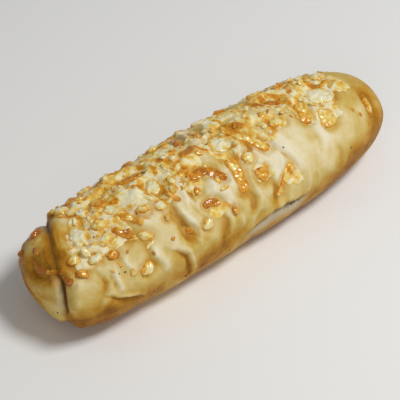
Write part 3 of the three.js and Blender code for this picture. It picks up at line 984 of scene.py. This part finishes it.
speck_along, speck_turn = np.array(SPECKS, float).T
speck_places = land(plain_point(speck_along, speck_turn), outward(speck_along, speck_turn))
speck_mesh = bpy.data.meshes.new("speck_places")
speck_mesh.from_pydata((speck_places * MM).tolist(), [], [])
char = Finish("burnt_speck")
charred = char.mix(char.noise(0.0004), (0.035, 0.015, 0.006), (0.10, 0.045, 0.015))
char.set(Base_Color=charred, Roughness=0.7)
specks = run_tree("burnt_specks", speck_mesh, speck_tree("speck_grains"),
                  radius=SPECK_RADIUS, finish=char.material)
specks.data.shade_smooth()
crumb_pieces.append((specks, "cheese_toasted"))
print(len(SPECKS), "specks,", len(specks.data.polygons), "faces")

# %% [markdown]
# ## How far each place has browned, and where shade is painted
# Crust browns most close to hot metal: at the ends, low on the flanks and underneath. Painted shade and
# highlight are mixed into the same numbers: crust that faces down, the valleys and the barrel's edge at the
# seam are made darker as painted shade, and the swollen parts and the middle of the front flank are made
# paler as a painted highlight. These numbers are stored on the mesh, and the material reads them, so the
# colour follows the shape.

# %% Browning, painted shade and highlight, bare crumb and grooves
MEAN_BAKE, DARKEST_BAKE = 0.46, 0.84
upness = normals[:, 2]
# a fried ring at the foot of each cheese piece on the crust, partly painted shade
rim = smooth(1.5, 0.2, cheese_gap)
seamed_end = 0.1 * smooth(-86, -120, along) + 0.24 * smooth(-55, -85, along) * smooth(40, 65, turn)
plain_end = 0.31 * smooth(50, 84, along) - 0.14 * smooth(92, 112, along)
low_front = 0.22 * smooth(15, 60, along) * smooth(45, 75, turn)
# painted highlight: the middle of the front flank, where the broad sheen lies, made paler
flank_sheen = 0.30 * bell(along, 12, 45) * bell(turn, 42, 24)
# darker where the crust faces down: browning low on the flanks, and painted shade
flank_brown_and_shade = smooth(0.7, -0.2, upness) * (0.38 - 0.26 * smooth(-101, -112, along))
under = 0.12 * smooth(7, 0.5, crust[:, 2])
# painted shade and highlight: valleys made darker, raised folds, pillows and swollen dough paler
relief_shading = 0.3 * np.clip(folds + 0.8 * pillows, -1.5, 1.3) + 0.15 * (puff - 0.35)
# painted shade on the barrel's edge beside the seam, which faces away from the main light
seam_edge_shade = 0.12 * gape * bell(past_seam, 2.5, 3.5)
seam_edge_shade += 0.68 * bell(past_seam, 1.5, 6.0) * smooth(42, 8, turn)
on_lobe = (0.3 * smooth(82, 45, turn) - 0.06) * smooth(1, -4, past_seam)
bake = MEAN_BAKE + (seamed_end + plain_end + low_front) * (1 - 0.3 * gape) - flank_sheen + flank_brown_and_shade + under
bake += 0.13 * ripple(form / 24, 61.0) + 0.12 * ripple(form / 8, 63.0)
bake += seam_edge_shade + on_lobe - relief_shading
bake = np.minimum(bake, DARKEST_BAKE)
# painted shade: the upward-facing valleys are tinted a darker gold
valley = smooth(0.3, 1.8, -(folds + pillows)) * smooth(0.0, 0.5, upness) * (1 - film)
seam_crumb = gape * smooth(-5.5, -3.0, past_seam) * smooth(-0.4, -1.4, past_seam)
crumb = np.maximum(0.85 * torn_crumb, 0.8 * seam_crumb * (0.6 + 0.4 * ripple(form / 2, 71.0)))
# painted shade in the seam's crack, the tear and the tear's holes
seam_shade = (0.5 + 0.3 * gape) * bell(past_seam, 0, 1.5) + 0.8 * gape * bell(past_seam, 0.3, 0.9)
crease = seam_shade + tear + 0.7 * tear_holes
for name, values in {"bake": bake, "crumb": np.clip(crumb, 0, 1), "crease": np.clip(crease, 0, 1),
                     "film": film, "film_tone": film_tone, "rim": rim, "lumps": lumps,
                     "valley": valley}.items():
    write_attribute(loaf_mesh, name, values)
print("browning from", round(bake.min(), 2), "to", round(bake.max(), 2))

# %% [markdown]
# ## Crust finish
# Egg-washed crust is a thin glazed skin: pale where it stayed cool, through gold, to brown. A ramp on the
# stored browning, with its painted shade and highlight, gives the run of colours, soft noise breaks it up
# at three scales, and the film of cheese is laid over it by its own mask. Painted shade then darkens the
# valleys, the seam and the tear, and a fried ring, partly painted shade, rims each cheese piece. The sheen
# is one satin roughness with a little change, so the broad light rolls over it.

# %% Crust material
CREAM, PEACH, STRAW = (0.90, 0.81, 0.57), (0.80, 0.655, 0.33), (0.67, 0.48, 0.13)
GOLD, BROWN, DARK = (0.55, 0.27, 0.022), (0.33, 0.125, 0.006), (0.14, 0.05, 0.008)
BARE_CRUMB, SHADED_CREASE = (0.66, 0.58, 0.40), (0.17, 0.07, 0.014)
# the rim colour is fried cheese and painted shade at each piece's foot; the valley gold is painted shade
FRIED_RIM_AND_SHADE, VALLEY_SHADE_GOLD = (0.60, 0.28, 0.03), (0.62, 0.36, 0.08)
CRUST_STOPS = [(0.0, CREAM), (0.25, PEACH), (0.5, STRAW), (0.72, GOLD), (0.9, BROWN), (1.0, DARK)]

finish = Finish("baked_crust")
cloud, mottle, grain = finish.noise(0.022, 3), finish.noise(0.0045, 3, 0.6), finish.noise(0.0009, 2)
browning = finish.attribute("bake") + (cloud - 0.5) * 0.34 + (mottle - 0.5) * 0.36 + (grain - 0.5) * 0.16
colour = finish.ramp(CRUST_STOPS, browning)
# painted shade in the valleys
colour = finish.mix(finish.attribute("valley") * 0.8, colour, VALLEY_SHADE_GOLD)
colour = finish.mix(finish.attribute("crumb"), colour, BARE_CRUMB)
mask = (finish.attribute("film") + (mottle - 0.5) * 0.5).step(0.35, 0.65)
edge = (mask * (1 - mask) * 4).clamp()
blotch, grit = finish.noise(0.0055, 3, 0.6), finish.noise(0.0012, 2, 0.6)
toasting = finish.attribute("film_tone") * 0.45 + (blotch - 0.5) * 1.6 + (grit - 0.5) * 0.3 + 0.21
toasting = toasting - finish.attribute("lumps") * 0.5
film_colour = finish.ramp(CHEESE_STOPS, toasting + edge * 0.28)
colour = finish.mix(mask * 0.9, colour, film_colour)
# a fried ring, partly painted shade, at the foot of each cheese piece
rim_mask = (finish.attribute("rim") * (blotch - 0.36) * 4).clamp()
colour = finish.mix(rim_mask * 0.6, colour, FRIED_RIM_AND_SHADE)
# painted shade in the seam, the tear and its holes
colour = finish.mix(finish.attribute("crease"), colour, SHADED_CREASE)
bump = finish.bump(grain, 0.0002, 0.5)
bump = finish.bump(finish.noise(0.0022, 3, 0.65), 0.0004, 0.5, bump)
bump = finish.bump(grit * mask, 0.0005, 0.6, bump)
finish.set(Base_Color=colour, Roughness=0.5 + (mottle - 0.5) * 0.2 - mask * 0.15, Normal=bump)
finish.let_light_in((0.006, 0.003, 0.001))
loaf_mesh.materials.append(finish.material)
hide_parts("bread_loaf")
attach(loaf, "root")

# %% [markdown]
# ## Back to the imported model, on a floor
# Every baked cheese piece is named after the imported piece it stands in for, hides it and takes the finish
# that the model gives that piece, and the loaf hides its own. Crumbs and specks stand in for no imported
# piece, so they only ride on the body and share a finish. The floor is a stage and not part of the object.

# %% Hand every cheese piece its finish and its place in the model
for piece, node_name in cheese_pieces:
    piece.data.materials.clear()
    piece.data.materials.append(CHEESE[SLOT_OF[node_name]])
    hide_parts(node_name)
    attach(piece, "root")
for piece, slot in crumb_pieces:
    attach(piece, "root")
print(1 + len(cheese_pieces) + len(crumb_pieces), "pieces in all")

# %% Floor
floor_mesh = bpy.data.meshes.new("floor")
floor_mesh.from_pydata([(-3, -3, 0), (3, -3, 0), (3, 3, 0), (-3, 3, 0)], [], [(0, 1, 2, 3)])
floor = new_object("floor", floor_mesh)
paper = Finish("pale_paper")
paper.set(Base_Color=(0.95, 0.95, 0.94), Roughness=0.9)
floor_mesh.materials.append(paper.material)
